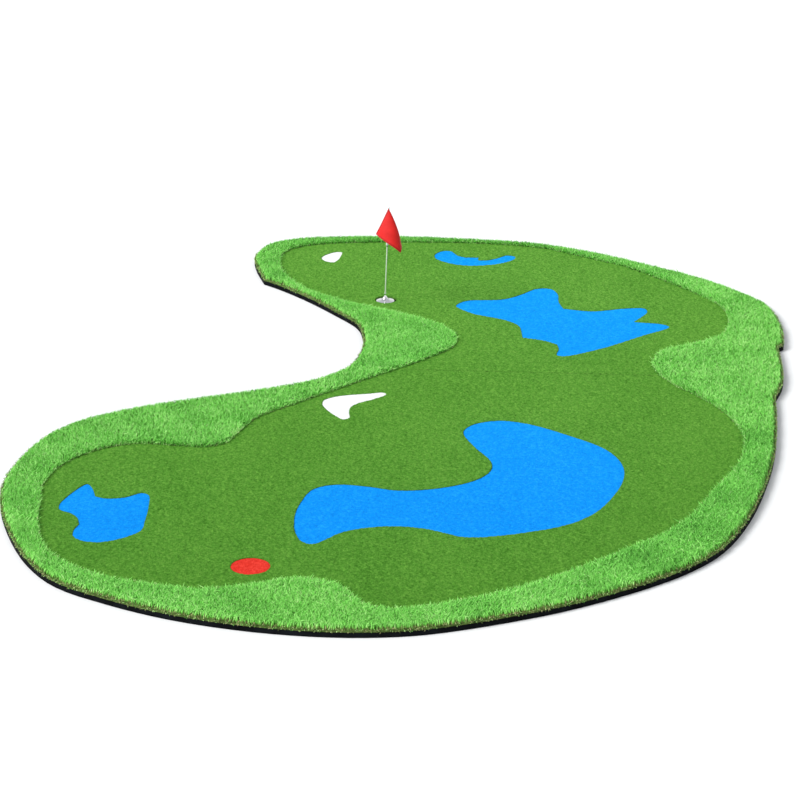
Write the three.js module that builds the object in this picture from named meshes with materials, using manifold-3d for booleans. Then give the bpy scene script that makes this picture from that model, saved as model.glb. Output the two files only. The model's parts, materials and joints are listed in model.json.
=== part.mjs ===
// A practice putting mat: a kidney-shaped indoor putting green that lies flat on the floor.
//
// From the floor up it is a bed of black foam panels, a short-pile putting turf in two lengths, a border of
// longer fringe turf in eight strips, and inlays let into the putting turf: four blue ponds, two white
// bunkers and a red tee disc. One cup is cut right through the turf and the foam. A weighted foot stands in
// the cup and holds a loose, slightly leaning flagstick, with a tube and a cloth flag that swivel on it.
//
// Units are millimetres, +Z is up, +Y runs from the tee end to the cup end, and the origin is on the floor
// under the middle of the mat.

import * as THREE from 'three';
import { mergeVertices } from 'three/addons/utils/BufferGeometryUtils.js';
import Module from 'manifold-3d';

const wasm = await Module();
wasm.setup();

// ---- Driving dimensions ------------------------------------------------------------------------------

const matWidth = 3465; // over the widest part, side to side
const matLength = 4675; // from the tee end to the cup end

const baseThickness = 20; // foam underlay
const backing = 2; // woven backing under every pile
const puttingPile = 12;
const fringePile = 30;
const inlayPile = 9; // clipped shorter than the putting pile round it
const fringeSetback = 3; // the foam shows this far past the fringe
const jointGap = 0.3; // between pieces that are cut to butt together
const chordError = 1; // how far a facet may stray from its curve
const spare = 5; // how far a cutting shape reaches past what it cuts

const cupDiameter = 108; // the standard hole
const teeDiameter = 152;

const footGap = 8; // all round between the foot and the wall of the cup
const footOffset = [-3.5, -1]; // it stands a little off the middle of the cup
const footRimTop = 29; // height of the foot's flat rim above the floor
const footRimRound = 4;
const flareMargin = 17.5; // from the foot's edge in to where the flare starts
const flareBottom = 32;
const footSocketTop = 66;
const socketLip = 4; // straight height of the socket above the flare
const footWall = 3;
const socketWall = 2;
const socketDepth = 30;
const padThickness = 3; // rubber pad under the foot
const weightThickness = 12;

const stickDiameter = 5.6;
const stickLength = 468;
const stickLean = 2.2; // degrees, towards +X
const socketPlay = 0.8; // radial play that lets the stick lean in its socket
const stickTip = 1; // chamfer at both ends
const collarWall = 1.4;
const collarLip = 0.3; // wall left at the collar's thin lower edge
const collarHeight = 8;
const tubeWall = 2.15;
const tubePlay = 0.3; // radial running clearance of the tube on the stick
const tubeTail = 25; // bare tube under the cloth
const capOverhang = 0.5; // past the tube, all round
const capHeight = 3;

const flagHoist = 165; // the edge sewn round the tube
const flagFly = 150; // the free top edge
const flagCloth = 1.6;
const flagDrop = 1; // from the top of the tube to the top of the cloth
const clothTuck = 0.3; // the cloth's middle stands this far in front of the sleeve that it is sewn to
const flagCorner = 3; // the cloth starts this far from its top corner, inside the sleeve's seam
const clothSteps = 12; // facets across the cloth, half of them on each side of its fold

const roundSides = 48; // facets round a turned piece
const smallSides = 24;

// ---- Outlines ----------------------------------------------------------------------------------------
// Points are drawn in mm on a mat of about the size above, and plan() then fits the drawing to matWidth
// and matLength. A curve runs smoothly through its points, except where one is marked as a corner.

const corner = true;

const matOutline = [
  [-785, 1650, corner], [-838, 1880], [-848, 2040], [-780, 2215], [-620, 2305], [-160, 2337], [310, 2288],
  [640, 2212], [940, 2045], [1230, 1818], [1420, 1650], [1600, 1425], [1705, 1240], [1733, 1000],
  [1728, 840], [1708, 690, corner], [1674, 650, corner], [1662, 390], [1632, 170], [1575, 0, corner],
  [1548, -260], [1466, -750], [1300, -1310], [1160, -1605], [1030, -1765], [850, -1915], [500, -2128],
  [80, -2293], [-100, -2332], [-350, -2337], [-640, -2292], [-940, -2195], [-1190, -2065], [-1400, -1915],
  [-1530, -1730], [-1650, -1430], [-1722, -1130], [-1730, -900], [-1672, -610], [-1610, -450],
  [-1500, -300], [-1320, -170], [-980, -12], [-815, 50], [-500, 202], [-350, 362], [-292, 540],
  [-272, 690], [-276, 830], [-305, 985], [-425, 1190], [-575, 1410], [-710, 1575],
];

const greenOutline = [
  [-718, 1980], [-690, 2100], [-590, 2190], [-400, 2236], [0, 2250], [340, 2226], [640, 2150],
  [860, 1990], [1060, 1835], [1250, 1590], [1405, 1360], [1480, 1190], [1482, 960], [1420, 790],
  [1290, 680], [1160, 610], [1085, 500], [1068, 340], [1140, 140], [1230, 0], [1318, -175], [1370, -400],
  [1370, -560], [1310, -810], [1200, -1030], [1050, -1345], [930, -1510], [785, -1645], [430, -1940],
  [125, -2110], [-125, -2175], [-225, -2140], [-330, -1970], [-420, -1922], [-510, -1915],
  [-620, -1955], [-830, -2010], [-960, -1985], [-1200, -1905], [-1420, -1725], [-1500, -1560],
  [-1552, -1210], [-1560, -980], [-1510, -790], [-1390, -635], [-1232, -558], [-1070, -573],
  [-930, -592], [-845, -550], [-785, -400], [-719, -250], [-545, -72], [-260, 210], [36, 500],
  [150, 650], [165, 790], [85, 950], [-70, 1085], [-400, 1305], [-570, 1480], [-690, 1730],
];

const bigPondOutline = [
  [-360, -995], [-450, -1040], [-500, -1180], [-520, -1340], [-508, -1490], [-480, -1565],
  [-440, -1587], [-320, -1470], [-215, -1427], [-100, -1418], [15, -1447], [150, -1520], [260, -1515],
  [540, -1417], [672, -1300], [775, -1100], [825, -930], [830, -780], [775, -617], [640, -470],
  [450, -320], [330, -286], [222, -330], [178, -400], [176, -455], [225, -610], [282, -750],
  [278, -850], [210, -953], [55, -1036], [-110, -1056], [-230, -1016],
];

const leftPondOutline = [
  [-1383, -990], [-1360, -1025], [-1336, -1117, corner], [-1290, -1138], [-1215, -1128], [-1150, -1082],
  [-1122, -1100], [-1110, -1220], [-1112, -1370], [-1120, -1460], [-1185, -1530], [-1265, -1568],
  [-1330, -1560], [-1377, -1518], [-1385, -1455], [-1370, -1395, corner], [-1385, -1330],
  [-1415, -1288], [-1462, -1255], [-1472, -1210], [-1450, -1120],
];

const backPondOutline = [
  [175, 1235], [195, 1190], [270, 1107], [400, 1032], [470, 945], [480, 850], [482, 775, corner],
  [575, 738], [640, 680, corner], [645, 620], [632, 535], [665, 522], [850, 628], [1050, 800],
  [1192, 925], [1170, 962], [1030, 1000, corner], [1105, 1140], [1095, 1198], [1000, 1196],
  [840, 1155], [700, 1195, corner], [683, 1290], [684, 1420], [652, 1495], [585, 1495],
  [520, 1425], [460, 1365], [400, 1330], [230, 1312],
];

const smallPondOutline = [
  [85, 1985], [85, 2050], [125, 2105], [165, 2105], [200, 2030], [240, 1998, corner],
  [310, 1995, corner], [305, 1955], [345, 1948], [400, 1980], [455, 2030], [495, 2015], [495, 1975],
  [440, 1912], [345, 1868], [230, 1865], [140, 1912],
];

const frontBunkerOutline = [
  [-443, -85], [-435, -35], [-370, 12], [-238, 42], [-172, 55], [-160, 30], [-215, -30], [-285, -80],
  [-317, -130], [-322, -200], [-320, -255], [-345, -275], [-385, -225], [-425, -150],
];

const backBunkerOutline = [
  [-505, 1985], [-485, 2040], [-425, 2092], [-402, 2085], [-405, 2020], [-420, 1950], [-440, 1915],
  [-480, 1930],
];

const cupCentre = [-168, 1329];
const teeCentre = [-670, -1790];

// Straight cuts, drawn past the edges of the piece that they cut.
const baseSeams = [
  { from: [-900, 1700], to: [1500, 1700] },
  { from: [-400, 670], to: [1800, 670] },
  { from: [-420, 0], to: [1750, 0] },
  { from: [-1850, -1170], to: [1650, -1170] },
  { from: [-420, 450], to: [-420, -2450] },
  { from: [600, 2450], to: [600, -2350] },
];

const greenSeam = { from: [-400, 372], to: [1300, 252] };

const fringeSeams = [
  { from: [340, 2180], to: [340, 2400] },
  { from: [1400, 1225], to: [1850, 1225] },
  { from: [1300, -440], to: [1700, -440] },
  { from: [600, -1700], to: [600, -2250] },
  { from: [-1290, -1700], to: [-1360, -2120] },
  { from: [-1850, -1040], to: [-1480, -1040] },
  { from: [-460, 365], to: [-60, 345] },
  { from: [-950, 1850], to: [-640, 1850] },
];

// Each piece that the cuts leave is known by a point inside it.
const basePanels = {
  base_panel_back_left: [-100, 2000],
  base_panel_back_right: [900, 1800],
  base_panel_cup: [200, 1200],
  base_panel_pond: [1100, 1200],
  base_panel_neck_left: [100, 350],
  base_panel_neck_right: [1200, 350],
  base_panel_left: [-1000, -600],
  base_panel_middle: [100, -600],
  base_panel_right: [1200, -600],
  base_panel_front_left: [-1000, -1600],
  base_panel_front_middle: [100, -1600],
  base_panel_front_right: [850, -1600],
};

const fringeStrips = {
  fringe_back_left: [-160, 2290],
  fringe_back_right: [1330, 1650],
  fringe_right: [1400, 400],
  fringe_front_right: [1300, -1050],
  fringe_front: [-400, -2150],
  fringe_left_end: [-1575, -1450],
  fringe_left: [-1250, -350],
  fringe_bay: [-50, 800],
};

const puttingTurfs = {
  putting_turf_back: [-200, 1700],
  putting_turf_front: [-900, -1200],
};

const inlays = {
  pond_big: { loop: bigPondOutline, finish: 'pond' },
  pond_left: { loop: leftPondOutline, finish: 'pond' },
  pond_back: { loop: backPondOutline, finish: 'pond' },
  pond_small: { loop: smallPondOutline, finish: 'pond' },
  bunker_front: { loop: frontBunkerOutline, finish: 'bunker' },
  bunker_back: { loop: backBunkerOutline, finish: 'bunker' },
};

// ---- Finishes ----------------------------------------------------------------------------------------

const finish = (color, roughness, metalness = 0) =>
  new THREE.MeshStandardMaterial({ color, roughness, metalness });

const finishes = {
  foam: () => finish(0x16181a, 0.9),
  putting: () => finish(0x629f3b, 0.9),
  fringe: () => finish(0x74bb58, 0.85),
  pond: () => finish(0x1596fc, 0.9),
  bunker: () => finish(0xf8f8f6, 0.9),
  tee: () => finish(0xe93e34, 0.9),
  shell: () => finish(0xd9dde2, 0.25),
  steel: () => finish(0x8d9094, 0.4, 1),
  rubber: () => finish(0x1a1a1a, 0.9),
  stick: () => finish(0xe9ece8, 0.35),
  tube: () => finish(0xf2f2f0, 0.4),
  cloth: () => finish(0xe0373a, 0.8),
};

// ---- Curves and loops --------------------------------------------------------------------------------

// Points along a curve, halving each stretch until its chord is within chordError.
function sampled(curve, stretches) {
  const found = [];
  const halve = (t0, a, t1, b) => {
    const t = (t0 + t1) / 2;
    const middle = curve.getPoint(t);
    if (middle.distanceTo(a.clone().lerp(b, 0.5)) > chordError) {
      halve(t0, a, t, middle);
      halve(t, middle, t1, b);
    } else {
      found.push(a);
    }
  };
  for (let i = 0; i < stretches; i++) {
    const [t0, t1] = [i / stretches, (i + 1) / stretches];
    halve(t0, curve.getPoint(t0), t1, curve.getPoint(t1));
  }
  return found;
}

// A closed loop through the points: smooth, or smooth between its corners.
function drawn(points) {
  const at = points.map(([x, y]) => new THREE.Vector3(x, y, 0));
  const smooth = (through, closed) => new THREE.CatmullRomCurve3(through, closed, 'centripetal');
  const corners = points.flatMap((p, i) => (p[2] ? [i] : []));
  if (!corners.length) return sampled(smooth(at, true), at.length);
  return corners.flatMap((start, k) => {
    const end = corners[(k + 1) % corners.length];
    const steps = ((end - start - 1 + at.length) % at.length) + 1;
    const through = Array.from({ length: steps + 1 }, (_, i) => at[(start + i) % at.length]);
    return sampled(smooth(through, false), steps);
  });
}

const drawnMat = new THREE.Box3().setFromPoints(drawn(matOutline));
const drawnSize = drawnMat.getSize(new THREE.Vector3());
const drawnCentre = drawnMat.getCenter(new THREE.Vector3());

// A drawn point on the real mat.
function plan([x, y]) {
  return [
    ((x - drawnCentre.x) * matWidth) / drawnSize.x,
    ((y - drawnCentre.y) * matLength) / drawnSize.y,
  ];
}

const loopOf = (points) => drawn(points).map(({ x, y }) => new THREE.Vector2(...plan([x, y])));

function circle([x, y], radius) {
  return Array.from({ length: roundSides }, (_, i) => {
    const angle = (i / roundSides) * 2 * Math.PI;
    return new THREE.Vector2(x + radius * Math.cos(angle), y + radius * Math.sin(angle));
  });
}

// The loop moved outwards, or inwards with a distance below 0. Each point moves along the mean of its two
// edges' normals.
function grown(loop, distance) {
  const side = THREE.ShapeUtils.area(loop) > 0 ? 1 : -1;
  const normal = (a, b) => new THREE.Vector2(b.y - a.y, a.x - b.x).normalize();
  return loop.map((point, i) => {
    const before = normal(loop[(i + loop.length - 1) % loop.length], point);
    const after = normal(point, loop[(i + 1) % loop.length]);
    const mean = before.add(after).normalize();
    return point.clone().addScaledVector(mean, (side * distance) / mean.dot(after));
  });
}

// ---- Solids ------------------------------------------------------------------------------------------

function solid(geometry) {
  const bare = geometry.index ? geometry.toNonIndexed() : geometry.clone();
  bare.deleteAttribute('normal');
  bare.deleteAttribute('uv');
  const merged = mergeVertices(bare, 1e-3);
  return new wasm.Manifold(
    new wasm.Mesh({
      numProp: 3,
      vertProperties: merged.attributes.position.array,
      triVerts: new Uint32Array(merged.index.array),
    }),
  );
}

function geometryOf(manifold) {
  const { vertProperties, triVerts } = manifold.getMesh();
  const geometry = new THREE.BufferGeometry();
  geometry.setAttribute('position', new THREE.BufferAttribute(vertProperties, 3));
  geometry.setIndex(new THREE.BufferAttribute(triVerts, 1));
  const flat = geometry.toNonIndexed();
  flat.computeVertexNormals();
  return flat;
}

// A loop carried straight up from one height to another.
function slab(loop, bottom, top) {
  const upright = { depth: top - bottom, bevelEnabled: false };
  return solid(new THREE.ExtrudeGeometry(new THREE.Shape(loop), upright).translate(0, 0, bottom));
}

// A blade one jointGap thick that stands on a drawn line.
function knife({ from, to }, bottom, top) {
  const [a, b] = [new THREE.Vector2(...plan(from)), new THREE.Vector2(...plan(to))];
  const across = new THREE.Vector2(a.y - b.y, b.x - a.x).setLength(jointGap / 2);
  const blade = [a.clone().sub(across), b.clone().sub(across), b.clone().add(across), a.clone().add(across)];
  return slab(blade, bottom, top);
}

// Cuts a slab along its seams, and names each piece by the point that it holds, where a pin meets it.
const pinRadius = 1;

function cutUp(whole, seams, names, bottom, top) {
  const cut = seams.reduce((rest, seam) => rest.subtract(knife(seam, bottom - spare, top + spare)), whole);
  const pieces = cut.decompose();
  return Object.entries(names).map(([name, inside]) => {
    const pin = slab(circle(plan(inside), pinRadius), bottom, top);
    return { name, solid: pieces.find((piece) => piece.intersect(pin).volume() > 0) };
  });
}

// A turned solid: its profile runs from the axis, round the section and back to the axis.
function turned(profile, sides = roundSides) {
  const points = profile.map(([r, z]) => new THREE.Vector2(r, z));
  return solid(new THREE.LatheGeometry(points, sides).rotateX(Math.PI / 2));
}

// A turned ring or tube between two radii and two heights.
function ring(inner, outer, bottom, top, sides) {
  const section = [[inner, bottom], [outer, bottom], [outer, top], [inner, top], [inner, bottom]];
  return turned(section, sides);
}

// ---- Assembly ----------------------------------------------------------------------------------------

const mat = new THREE.Group();

function add(parent, name, shape, finishName) {
  const mesh = new THREE.Mesh(geometryOf(shape), finishes[finishName]());
  mesh.name = name;
  parent.add(mesh);
}

const turfFloor = baseThickness;
const puttingTop = turfFloor + backing + puttingPile;
const fringeTop = turfFloor + backing + fringePile;
const inlayTop = turfFloor + backing + inlayPile;

const matLoop = loopOf(matOutline);
const greenLoop = loopOf(greenOutline);
const cupAt = plan(cupCentre);
const teeAt = plan(teeCentre);

// Foam panels, with the cup cut through one of them.
const cupHole = slab(circle(cupAt, cupDiameter / 2), -spare, puttingTop + spare);
const foam = slab(matLoop, 0, baseThickness).subtract(cupHole);
for (const panel of cutUp(foam, baseSeams, basePanels, 0, baseThickness)) {
  add(mat, panel.name, panel.solid, 'foam');
}

// Inlays, and the holes that they are let into.
const inlayLoops = Object.entries(inlays).map(([name, inlay]) => ({
  name,
  finish: inlay.finish,
  loop: loopOf(inlay.loop),
}));
inlayLoops.push({ name: 'tee_disc', finish: 'tee', loop: circle(teeAt, teeDiameter / 2 + jointGap) });
for (const inlay of inlayLoops) {
  add(mat, inlay.name, slab(grown(inlay.loop, -jointGap), turfFloor, inlayTop), inlay.finish);
}

// Putting turf, in two lengths that meet across the neck of the mat.
const green = inlayLoops.reduce(
  (rest, { loop }) => rest.subtract(slab(loop, turfFloor - spare, puttingTop + spare)),
  slab(greenLoop, turfFloor, puttingTop).subtract(cupHole),
);
for (const length of cutUp(green, [greenSeam], puttingTurfs, turfFloor, puttingTop)) {
  add(mat, length.name, length.solid, 'putting');
}

// Fringe turf, a border cut into strips.
const border = slab(grown(matLoop, -fringeSetback), turfFloor, fringeTop)
  .subtract(slab(grown(greenLoop, jointGap), turfFloor - spare, fringeTop + spare));
for (const strip of cutUp(border, fringeSeams, fringeStrips, turfFloor, fringeTop)) {
  add(mat, strip.name, strip.solid, 'fringe');
}

// ---- Flag foot, which stands on the floor in the cup -------------------------------------------------

const foot = new THREE.Group();
foot.position.set(cupAt[0] + footOffset[0], cupAt[1] + footOffset[1], 0);
mat.add(foot);

const footRadius = cupDiameter / 2 - footGap;
const stickRadius = stickDiameter / 2;
const socketRadius = stickRadius + socketPlay;
const socketOuter = socketRadius + socketWall;
const socketFloor = footSocketTop - socketDepth;
const shellRoof = footRimTop - footWall;

// Points on an arc about a centre, from angle a to angle b in degrees.
function arc([cx, cz], radius, a, b, steps) {
  return Array.from({ length: steps + 1 }, (_, i) => {
    const angle = THREE.MathUtils.degToRad(a + ((b - a) * i) / steps);
    return [cx + radius * Math.cos(angle), cz + radius * Math.sin(angle)];
  });
}

// The flare sweeps from the foot's sloping top up to the socket in a quarter of an ellipse.
function flare(steps) {
  const reach = footRadius - flareMargin - socketOuter;
  const rise = footSocketTop - socketLip - flareBottom;
  return Array.from({ length: steps + 1 }, (_, i) => {
    const angle = (i / steps) * (Math.PI / 2);
    return [socketOuter + reach * (1 - Math.sin(angle)), flareBottom + rise * (1 - Math.cos(angle))];
  });
}

const footShell = turned([
  [0, shellRoof],
  [footRadius - footWall, shellRoof],
  [footRadius - footWall, padThickness],
  [footRadius, padThickness],
  ...arc([footRadius - footRimRound, footRimTop - footRimRound], footRimRound, 0, 90, 4),
  ...flare(8),
  [socketOuter, footSocketTop],
  [socketRadius, footSocketTop],
  [socketRadius, socketFloor],
  [0, socketFloor],
]);
add(foot, 'flag_foot_shell', footShell, 'shell');

const padProfile = [[0, 0], [footRadius, 0], [footRadius, padThickness], [0, padThickness]];
add(foot, 'flag_foot_pad', turned(padProfile), 'rubber');

const weightRadius = footRadius - footWall - jointGap;
const weightTop = padThickness + weightThickness;
const weightProfile = [
  [0, padThickness],
  [weightRadius, padThickness],
  [weightRadius, weightTop],
  [0, weightTop],
];
add(foot, 'flag_foot_weight', turned(weightProfile), 'steel');

// ---- Flagstick, which leans on the play in its socket ------------------------------------------------

// The stick's axis crosses the socket's axis half-way down, so it has the same play at both ends.
const stick = new THREE.Group();
stick.position.set(0, 0, socketFloor + socketDepth / 2);
stick.rotation.y = THREE.MathUtils.degToRad(stickLean);
foot.add(stick);

const stickBottom = -socketDepth / 2 + jointGap;
const stickTop = stickBottom + stickLength;
const stickProfile = [
  [0, stickBottom],
  [stickRadius - stickTip, stickBottom],
  [stickRadius, stickBottom + stickTip],
  [stickRadius, stickTop - stickTip],
  [stickRadius - stickTip, stickTop],
  [0, stickTop],
];
add(stick, 'flagstick', turned(stickProfile, smallSides), 'stick');

// The collar is crimped to the stick, and the flag's tube stands on it.
const tubeTop = stickTop + tubePlay;
const tubeBottom = tubeTop - flagDrop - flagHoist - tubeTail;
const tubeInner = stickRadius + tubePlay;
const tubeOuter = tubeInner + tubeWall;
const collarTop = tubeBottom - tubePlay;
const collarBottom = collarTop - collarHeight;
const collarInner = stickRadius + jointGap;
const collarOuter = collarInner + collarWall;
const collarProfile = [
  [collarInner, collarBottom],
  [collarInner + collarLip, collarBottom],
  [collarOuter, collarBottom + collarHeight / 2],
  [collarOuter, collarTop],
  [collarInner, collarTop],
  [collarInner, collarBottom],
];
add(stick, 'stick_collar', turned(collarProfile, smallSides), 'steel');

add(stick, 'flag_tube', ring(tubeInner, tubeOuter, tubeBottom, tubeTop, smallSides), 'tube');

// The cap is a short cylinder under a dome that is half an ellipse.
const capRadius = tubeOuter + capOverhang;
const capBottom = tubeTop + jointGap;
const capDome = Array.from({ length: 4 }, (_, i) => {
  const angle = (i / 3) * (Math.PI / 2);
  return [capRadius * Math.cos(angle), capBottom + (capHeight / 2) * (1 + Math.sin(angle))];
});
capDome[3][0] = 0;
const capProfile = [[0, capBottom], [capRadius, capBottom], ...capDome];
add(stick, 'tube_cap', turned(capProfile, smallSides), 'tube');

// ---- Flag --------------------------------------------------------------------------------------------

// The cloth hangs limp as a bent cone about its top corner: every straight line on the cloth from that
// corner stays straight. It drops down the tube, runs forwards to the free bottom corner, folds there
// along the diagonal, and comes back past the front of the tube to the free top corner.
const downTube = new THREE.Vector3(0, 0, -1);
const alongDiagonal = new THREE.Vector3(0.332, -0.4, -0.854).normalize();
const alongTopEdge = new THREE.Vector3(-0.395, -0.064, -0.917).normalize();

function clothDirections() {
  const turn = (a, b, t) => {
    const angle = a.angleTo(b);
    const ofA = a.clone().multiplyScalar(Math.sin((1 - t) * angle));
    return ofA.addScaledVector(b, Math.sin(t * angle)).normalize();
  };
  const steps = clothSteps / 2;
  const back = Array.from({ length: steps }, (_, i) => turn(downTube, alongDiagonal, i / steps));
  const front = Array.from({ length: steps + 1 }, (_, i) => turn(alongDiagonal, alongTopEdge, i / steps));
  return [...back, ...front];
}

function flagSolid() {
  const sleeveInner = tubeOuter + jointGap;
  const sleeveOuter = sleeveInner + flagCloth / 2;
  const clothTop = tubeTop - flagDrop;
  const hangsFrom = new THREE.Vector3(0, -sleeveOuter - clothTuck, clothTop);
  const diagonalAngle = Math.atan2(flagFly, flagHoist);
  const directions = clothDirections();
  const half = clothSteps / 2;
  const corners = [];
  directions.forEach((direction, i) => {
    const angle = i <= half
      ? (diagonalAngle * i) / half
      : diagonalAngle + ((Math.PI / 2 - diagonalAngle) * (i - half)) / half;
    const reach = angle <= diagonalAngle ? flagHoist / Math.cos(angle) : flagFly / Math.sin(angle);
    const before = directions[Math.max(i - 1, 0)];
    const after = directions[Math.min(i + 1, clothSteps)];
    const outwards = after.clone().sub(before).cross(direction).setLength(flagCloth / 2);
    for (const [distance, side] of [[flagCorner, 1], [reach, 1], [reach, -1], [flagCorner, -1]]) {
      corners.push(hangsFrom.clone().addScaledVector(direction, distance).addScaledVector(outwards, side));
    }
  });
  const faces = [];
  const quad = (a, b, c, d) => faces.push(a, c, b, a, d, c);
  for (let i = 0; i < clothSteps; i++) {
    for (let k = 0; k < 4; k++) {
      const next = (k + 1) % 4;
      quad(4 * i + k, 4 * i + next, 4 * (i + 1) + next, 4 * (i + 1) + k);
    }
  }
  quad(3, 2, 1, 0);
  const last = 4 * clothSteps;
  quad(last, last + 1, last + 2, last + 3);
  const geometry = new THREE.BufferGeometry().setFromPoints(corners);
  geometry.setIndex(faces);
  return solid(geometry).add(ring(sleeveInner, sleeveOuter, clothTop - flagHoist, clothTop, smallSides));
}

add(stick, 'flag', flagSolid(), 'cloth');

export default mat;
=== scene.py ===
# %% [markdown]
# # A practice putting mat
#
# The real object is an indoor putting green: black foam panels on the floor, a short clipped turf glued on
# them, longer fringe turf all round, and coloured turf let into the green as ponds, bunkers and a tee. One
# hole holds a loose foot with a flagstick.
#
# The CAD frame gives every piece its place and size. This lesson gives each piece its surface: pile, blades
# of grass, cloth, and turned metal and plastic.

# %% Load the frame
import json
import math

import bpy
import numpy as np
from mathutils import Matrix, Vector
from mathutils.geometry import delaunay_2d_cdt


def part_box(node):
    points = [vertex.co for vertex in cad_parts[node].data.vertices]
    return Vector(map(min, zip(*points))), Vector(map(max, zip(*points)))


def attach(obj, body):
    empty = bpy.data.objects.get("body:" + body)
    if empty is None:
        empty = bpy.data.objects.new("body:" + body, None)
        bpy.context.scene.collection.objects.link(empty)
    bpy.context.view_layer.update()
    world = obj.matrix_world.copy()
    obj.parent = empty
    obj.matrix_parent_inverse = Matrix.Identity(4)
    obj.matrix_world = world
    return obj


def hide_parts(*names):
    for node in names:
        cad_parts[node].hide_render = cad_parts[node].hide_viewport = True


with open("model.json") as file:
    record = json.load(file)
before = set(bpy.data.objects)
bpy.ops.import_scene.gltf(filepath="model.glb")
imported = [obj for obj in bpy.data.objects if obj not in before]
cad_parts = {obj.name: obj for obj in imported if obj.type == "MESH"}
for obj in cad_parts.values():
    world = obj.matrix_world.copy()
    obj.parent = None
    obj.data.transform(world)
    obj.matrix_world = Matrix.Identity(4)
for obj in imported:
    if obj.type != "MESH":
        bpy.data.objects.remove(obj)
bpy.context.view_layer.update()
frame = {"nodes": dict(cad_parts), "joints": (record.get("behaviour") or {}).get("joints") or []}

# %% [markdown]
# ## Camera and studio
#
# The camera comes first, because every later choice of detail depends on how large a millimetre is in the
# view. It stands eight metres beyond the tee end and four metres up, with a long lens, so the mat's far end
# still looks two thirds as large as its near end. A white world and a wide, soft sun from the left stand in
# for a bright hall.

# %% Camera
MM = 0.001

camera = bpy.data.objects.new("camera", bpy.data.cameras.new("camera"))
camera.data.lens = 117
camera.data.sensor_width = 36
camera.data.clip_end = 200
camera.location = (-0.0989, -10.8062, 4.219)
CAMERA_LOOKS_DOWN = 21.25  # degrees
camera.rotation_euler = (math.radians(90 - CAMERA_LOOKS_DOWN), 0, 0)
bpy.context.scene.collection.objects.link(camera)
bpy.context.scene.camera = camera
print("camera with a", camera.data.lens, "mm lens")


# %% Colours and nodes
def linear(hex_colour):
    """An sRGB colour, '#rrggbb', as the linear values that shaders work in. Each channel is divided by
    12.92 near black, and above that it follows the sRGB curve, a power of 2.4."""
    channel = np.array([int(hex_colour[i : i + 2], 16) for i in (1, 3, 5)]) / 255
    curve = ((channel + 0.055) / 1.055) ** 2.4
    return (*np.where(channel <= 0.04045, channel / 12.92, curve).tolist(), 1.0)


def add_node(tree, kind, inputs=None, **settings):
    """Adds one node to a tree. `settings` are its properties and `inputs` its sockets by name or number, each
    a value or another node's output."""
    node = tree.nodes.new(kind)
    for name, value in settings.items():
        setattr(node, name, value)
    for name, value in (inputs or {}).items():
        if isinstance(value, bpy.types.NodeSocket):
            tree.links.new(value, node.inputs[name])
        else:
            node.inputs[name].default_value = value
    return node


def ramp(tree, share, *stops):
    """The colour of a ramp at `share`. Its stops are places and colours, both ends before the middle."""
    node = add_node(tree, "ShaderNodeValToRGB", {"Fac": share})
    elements = node.color_ramp.elements
    for number, (place, colour) in enumerate(stops):
        element = elements[number] if number < len(elements) else elements.new(place)
        element.position = place
        element.color = linear(colour)
    return node.outputs[0]


def noise(tree, where, scale, detail):
    """Cloudy noise between 0 and 1, with about `scale` lumps to the metre."""
    inputs = {"Vector": where, "Scale": scale, "Detail": detail}
    return add_node(tree, "ShaderNodeTexNoise", inputs).outputs["Fac"]


def blend(tree, share, first, second):
    """The number that is `share` of the way from the first to the second."""
    return add_node(tree, "ShaderNodeMix", {0: share, 2: first, 3: second}).outputs[0]


def colour_blend(tree, share, first, second, blend_type="MIX"):
    """The colour that is `share` of the way from the first to the second, or to the two multiplied."""
    inputs = {0: share, 6: first, 7: second}
    return add_node(tree, "ShaderNodeMix", inputs, data_type="RGBA", blend_type=blend_type).outputs[2]


def stored(tree, name):
    """The number of that name on the mesh's points."""
    return add_node(tree, "ShaderNodeAttribute", attribute_name=name).outputs["Fac"]


def bump(tree, height, distance, strength):
    """The surface's normal, tilted as if `height` times `distance` stood out of it."""
    inputs = {"Height": height, "Distance": distance, "Strength": strength}
    return add_node(tree, "ShaderNodeBump", inputs).outputs[0]


def new_material(name):
    """An empty node material, and its tree."""
    material = bpy.data.materials.new(name)
    material.use_nodes = True
    material.node_tree.nodes.clear()
    return material, material.node_tree


def finish_material(tree, inputs, kind="ShaderNodeBsdfPrincipled"):
    """Adds the shader with its inputs and links it to the material's output."""
    shader = add_node(tree, kind, inputs)
    add_node(tree, "ShaderNodeOutputMaterial", {"Surface": shader.outputs[0]})


# %% World, sun and floor
scene = bpy.context.scene
scene.view_settings.view_transform = "Standard"

world = bpy.data.worlds.new("bright hall")
world.use_nodes = True
world.node_tree.nodes.clear()
direction = add_node(world.node_tree, "ShaderNodeTexCoord")
upwards = add_node(world.node_tree, "ShaderNodeSeparateXYZ", {"Vector": direction.outputs["Generated"]})
hall = ramp(world.node_tree, upwards.outputs["Z"], (0.22, "#ffffff"), (0.6, "#b9bcc0"))
sky = add_node(world.node_tree, "ShaderNodeBackground", {"Color": hall, "Strength": 1.0})
add_node(world.node_tree, "ShaderNodeOutputWorld", {"Surface": sky.outputs[0]})
scene.world = world

sun = bpy.data.objects.new("sun", bpy.data.lights.new("sun", "SUN"))
sun.data.energy = 3.1
sun.data.angle = math.radians(30)
sun.rotation_euler = (math.radians(14), math.radians(-48), 0)
scene.collection.objects.link(sun)

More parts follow.
